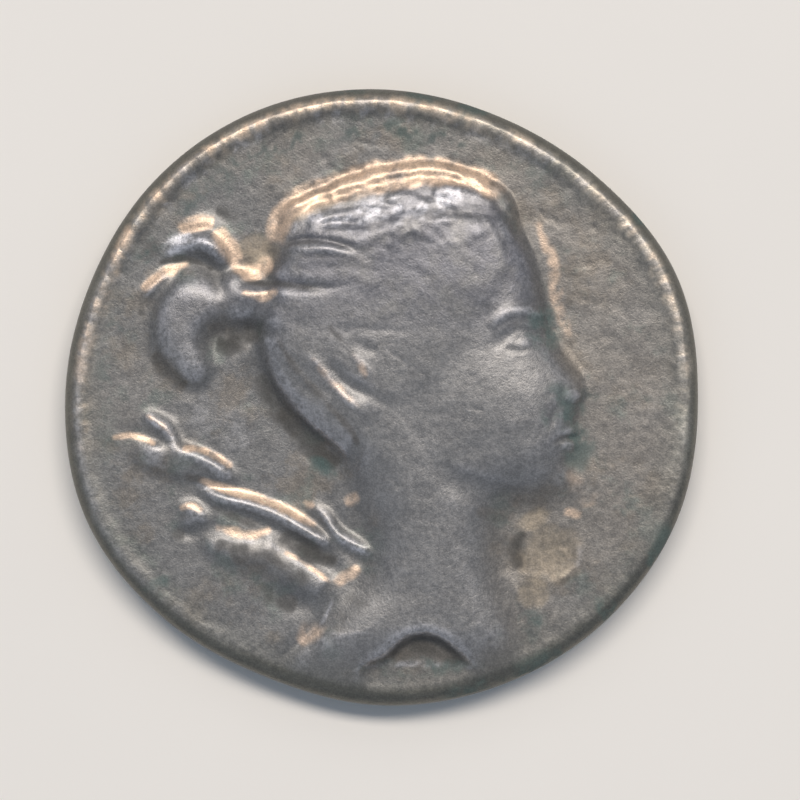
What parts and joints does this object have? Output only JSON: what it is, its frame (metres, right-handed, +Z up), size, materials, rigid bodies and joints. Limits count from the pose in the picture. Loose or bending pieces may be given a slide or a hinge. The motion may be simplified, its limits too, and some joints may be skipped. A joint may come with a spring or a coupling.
{
  "type": "denarius coin",
  "caption": "Worn ancient silver coin with a hammered round flan, a profile head with tied hair over a bow and quiver, and a plainer reverse.",
  "frame": {"origin": "under the middle of the flan, on the plane that the coin lies on", "axes": "+Z up out of the head side, +Y towards the top of the head, +X the way the head faces"},
  "size_m": [0.0186, 0.018, 0.0022],
  "materials": {
    "silver": "old struck silver, worn smooth on the high parts, toned grey with brown and gold against the relief"
  },
  "bodies": {
    "root": {"coin": "silver"}
  },
  "joints": []
}
